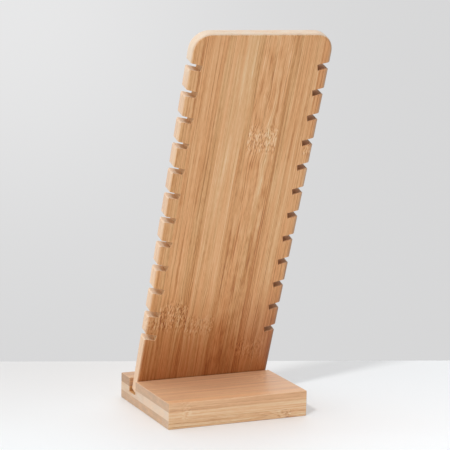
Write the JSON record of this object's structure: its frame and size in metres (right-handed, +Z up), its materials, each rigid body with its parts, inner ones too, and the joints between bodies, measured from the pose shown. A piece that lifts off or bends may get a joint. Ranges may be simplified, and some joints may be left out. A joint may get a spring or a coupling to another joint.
{
  "type": "leaning notched display stand",
  "caption": "Free-standing bamboo display board with notched edges, leaning towards the viewer out of a slotted block base it lifts out of, for hanging necklaces or bracelets.",
  "frame": {"origin": "middle of the base's underside, on the table", "axes": "+Z up; -Y towards the viewer, the way the board leans; +X to the viewer's right, along the groove"},
  "size_m": [0.1, 0.1129, 0.2585],
  "materials": {
    "board_bamboo": "carbonised bamboo strips, sanded fine, thin matt clear coat",
    "base_bamboo": "carbonised bamboo strips, sanded fine, thin matt clear coat"
  },
  "bodies": {
    "base": {"base_bottom_strip_1": "base_bamboo", "base_bottom_strip_2": "base_bamboo", "base_bottom_strip_3": "base_bamboo", "base_bottom_strip_4": "base_bamboo", "base_bottom_strip_5": "base_bamboo", "base_middle_strip_1": "base_bamboo", "base_middle_strip_2": "base_bamboo", "base_middle_strip_3": "base_bamboo", "base_middle_strip_4": "base_bamboo", "base_top_strip_1": "base_bamboo", "base_top_strip_2": "base_bamboo", "base_top_strip_3": "base_bamboo", "base_top_strip_4": "base_bamboo", "base_top_strip_5": "base_bamboo"},
    "board": {"board_back_strip_1": "board_bamboo", "board_back_strip_2": "board_bamboo", "board_back_strip_3": "board_bamboo", "board_back_strip_4": "board_bamboo", "board_back_strip_5": "board_bamboo", "board_back_strip_6": "board_bamboo", "board_back_strip_7": "board_bamboo", "board_front_strip_1": "board_bamboo", "board_front_strip_2": "board_bamboo", "board_front_strip_3": "board_bamboo", "board_front_strip_4": "board_bamboo", "board_front_strip_5": "board_bamboo", "board_front_strip_6": "board_bamboo"}
  },
  "joints": [
    {"name": "board_lift", "type": "slide", "parent": "base", "child": "board", "axis": [0, -0.342, 0.9397], "range_m": [0, 0.03]}
  ]
}
